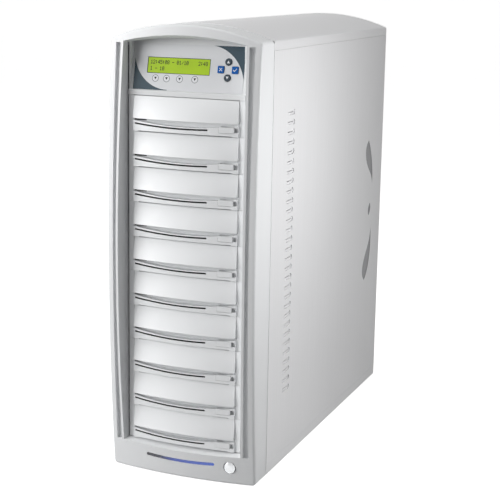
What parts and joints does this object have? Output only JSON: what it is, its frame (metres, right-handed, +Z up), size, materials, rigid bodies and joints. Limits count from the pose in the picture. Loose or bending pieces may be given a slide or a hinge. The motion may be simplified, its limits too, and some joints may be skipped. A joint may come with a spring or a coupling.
{
  "type": "cd dvd duplicator tower",
  "caption": "Upright disc duplicator tower with ten drives, an arched bezel, a tilted control panel with a green display and louvred steel sides",
  "frame": {"origin": "middle of the footprint, on the floor under the rubber feet", "axes": "+X to the tower's right as seen from the front, +Y to the rear, +Z up; the front faces -Y"},
  "size_m": [0.193, 0.508, 0.55],
  "materials": {
    "case_plastic": "satin",
    "drive_plastic": "satin",
    "tray_plastic": "matte",
    "button_silver": "satin",
    "overlay_film": "matte",
    "key_rubber_slate": "matte",
    "key_rubber_blue": "matte",
    "lcd_face": "glossy",
    "light_blue": "glossy",
    "case_steel": "brushed",
    "frame_steel": "satin",
    "board_laminate": "satin",
    "black_plastic": "satin",
    "screw_steel": "satin",
    "foot_rubber": "matte"
  },
  "bodies": {
    "tower": {"base_pan": "case_steel", "case_screws": "screw_steel", "control_housing": "case_plastic", "control_overlay": "overlay_film", "controller_board": "board_laminate", "drive_cage": "frame_steel", "drive_casings": "frame_steel", "drive_covers": "drive_plastic", "fan_frames": "black_plastic", "fan_guards": "screw_steel", "front_bezel": "case_plastic", "front_frame": "frame_steel", "lcd_module": "lcd_face", "left_side_panel": "case_steel", "light_bar": "light_blue", "power_switch": "black_plastic", "psu_case": "frame_steel", "psu_inlet": "black_plastic", "rear_panel": "case_steel", "right_side_panel": "case_steel", "rubber_feet": "foot_rubber", "top_cover": "case_steel"},
    "drawer_01": {"front_panel_01": "drive_plastic", "disc_tray_01": "tray_plastic"},
    "eject_01": {"eject_button_01": "drive_plastic"},
    "drawer_02": {"front_panel_02": "drive_plastic", "disc_tray_02": "tray_plastic"},
    "eject_02": {"eject_button_02": "drive_plastic"},
    "drawer_03": {"front_panel_03": "drive_plastic", "disc_tray_03": "tray_plastic"},
    "eject_03": {"eject_button_03": "drive_plastic"},
    "drawer_04": {"front_panel_04": "drive_plastic", "disc_tray_04": "tray_plastic"},
    "eject_04": {"eject_button_04": "drive_plastic"},
    "drawer_05": {"front_panel_05": "drive_plastic", "disc_tray_05": "tray_plastic"},
    "eject_05": {"eject_button_05": "drive_plastic"},
    "drawer_06": {"front_panel_06": "drive_plastic", "disc_tray_06": "tray_plastic"},
    "eject_06": {"eject_button_06": "drive_plastic"},
    "drawer_07": {"front_panel_07": "drive_plastic", "disc_tray_07": "tray_plastic"},
    "eject_07": {"eject_button_07": "drive_plastic"},
    "drawer_08": {"front_panel_08": "drive_plastic", "disc_tray_08": "tray_plastic"},
    "eject_08": {"eject_button_08": "drive_plastic"},
    "drawer_09": {"front_panel_09": "drive_plastic", "disc_tray_09": "tray_plastic"},
    "eject_09": {"eject_button_09": "drive_plastic"},
    "drawer_10": {"front_panel_10": "drive_plastic", "disc_tray_10": "tray_plastic"},
    "eject_10": {"eject_button_10": "drive_plastic"},
    "up_key": {"up_key": "key_rubber_slate"},
    "down_key": {"down_key": "key_rubber_slate"},
    "escape_key": {"escape_key": "key_rubber_blue"},
    "enter_key": {"enter_key": "key_rubber_blue"},
    "power_button": {"power_button": "button_silver"},
    "rocker": {"psu_rocker": "black_plastic"},
    "upper_impeller": {"upper_impeller": "black_plastic"},
    "lower_impeller": {"lower_impeller": "black_plastic"}
  },
  "joints": [
    {"name": "drawer_slide_01", "type": "slide", "parent": "tower", "child": "drawer_01", "axis": [0, -1, 0], "range_m": [0, 0.135]},
    {"name": "eject_press_01", "type": "slide", "parent": "tower", "child": "eject_01", "axis": [0, 1, 0], "range_m": [0, 0.0015], "stiffness_N_per_m": 900},
    {"name": "drawer_slide_02", "type": "slide", "parent": "tower", "child": "drawer_02", "axis": [0, -1, 0], "range_m": [0, 0.135]},
    {"name": "eject_press_02", "type": "slide", "parent": "tower", "child": "eject_02", "axis": [0, 1, 0], "range_m": [0, 0.0015], "stiffness_N_per_m": 900},
    {"name": "drawer_slide_03", "type": "slide", "parent": "tower", "child": "drawer_03", "axis": [0, -1, 0], "range_m": [0, 0.135]},
    {"name": "eject_press_03", "type": "slide", "parent": "tower", "child": "eject_03", "axis": [0, 1, 0], "range_m": [0, 0.0015], "stiffness_N_per_m": 900},
    {"name": "drawer_slide_04", "type": "slide", "parent": "tower", "child": "drawer_04", "axis": [0, -1, 0], "range_m": [0, 0.135]},
    {"name": "eject_press_04", "type": "slide", "parent": "tower", "child": "eject_04", "axis": [0, 1, 0], "range_m": [0, 0.0015], "stiffness_N_per_m": 900},
    {"name": "drawer_slide_05", "type": "slide", "parent": "tower", "child": "drawer_05", "axis": [0, -1, 0], "range_m": [0, 0.135]},
    {"name": "eject_press_05", "type": "slide", "parent": "tower", "child": "eject_05", "axis": [0, 1, 0], "range_m": [0, 0.0015], "stiffness_N_per_m": 900},
    {"name": "drawer_slide_06", "type": "slide", "parent": "tower", "child": "drawer_06", "axis": [0, -1, 0], "range_m": [0, 0.135]},
    {"name": "eject_press_06", "type": "slide", "parent": "tower", "child": "eject_06", "axis": [0, 1, 0], "range_m": [0, 0.0015], "stiffness_N_per_m": 900},
    {"name": "drawer_slide_07", "type": "slide", "parent": "tower", "child": "drawer_07", "axis": [0, -1, 0], "range_m": [0, 0.135]},
    {"name": "eject_press_07", "type": "slide", "parent": "tower", "child": "eject_07", "axis": [0, 1, 0], "range_m": [0, 0.0015], "stiffness_N_per_m": 900},
    {"name": "drawer_slide_08", "type": "slide", "parent": "tower", "child": "drawer_08", "axis": [0, -1, 0], "range_m": [0, 0.135]},
    {"name": "eject_press_08", "type": "slide", "parent": "tower", "child": "eject_08", "axis": [0, 1, 0], "range_m": [0, 0.0015], "stiffness_N_per_m": 900},
    {"name": "drawer_slide_09", "type": "slide", "parent": "tower", "child": "drawer_09", "axis": [0, -1, 0], "range_m": [0, 0.135]},
    {"name": "eject_press_09", "type": "slide", "parent": "tower", "child": "eject_09", "axis": [0, 1, 0], "range_m": [0, 0.0015], "stiffness_N_per_m": 900},
    {"name": "drawer_slide_10", "type": "slide", "parent": "tower", "child": "drawer_10", "axis": [0, -1, 0], "range_m": [0, 0.135]},
    {"name": "eject_press_10", "type": "slide", "parent": "tower", "child": "eject_10", "axis": [0, 1, 0], "range_m": [0, 0.0015], "stiffness_N_per_m": 900},
    {"name": "up_key_press", "type": "slide", "parent": "tower", "child": "up_key", "axis": [0, 0.9785, -0.2062], "range_m": [0, 0.0008], "stiffness_N_per_m": 1200},
    {"name": "down_key_press", "type": "slide", "parent": "tower", "child": "down_key", "axis": [0, 0.9785, -0.2062], "range_m": [0, 0.0008], "stiffness_N_per_m": 1200},
    {"name": "escape_key_press", "type": "slide", "parent": "tower", "child": "escape_key", "axis": [0, 0.9785, -0.2062], "range_m": [0, 0.0008], "stiffness_N_per_m": 1200},
    {"name": "enter_key_press", "type": "slide", "parent": "tower", "child": "enter_key", "axis": [0, 0.9785, -0.2062], "range_m": [0, 0.0008], "stiffness_N_per_m": 1200},
    {"name": "power_button_press", "type": "slide", "parent": "tower", "child": "power_button", "axis": [0, 1, 0], "range_m": [0, 0.0012], "stiffness_N_per_m": 1500},
    {"name": "rocker_tilt", "type": "hinge", "parent": "tower", "child": "rocker", "pos_m": [-0.029, 0.246, 0.485], "axis": [1, 0, 0], "range_deg": [0, 14]},
    {"name": "upper_impeller_spin", "type": "hinge", "parent": "tower", "child": "upper_impeller", "pos_m": [0, 0.235, 0.3], "axis": [0, 1, 0], "continuous": true},
    {"name": "lower_impeller_spin", "type": "hinge", "parent": "tower", "child": "lower_impeller", "pos_m": [0, 0.235, 0.128], "axis": [0, 1, 0], "continuous": true}
  ]
}
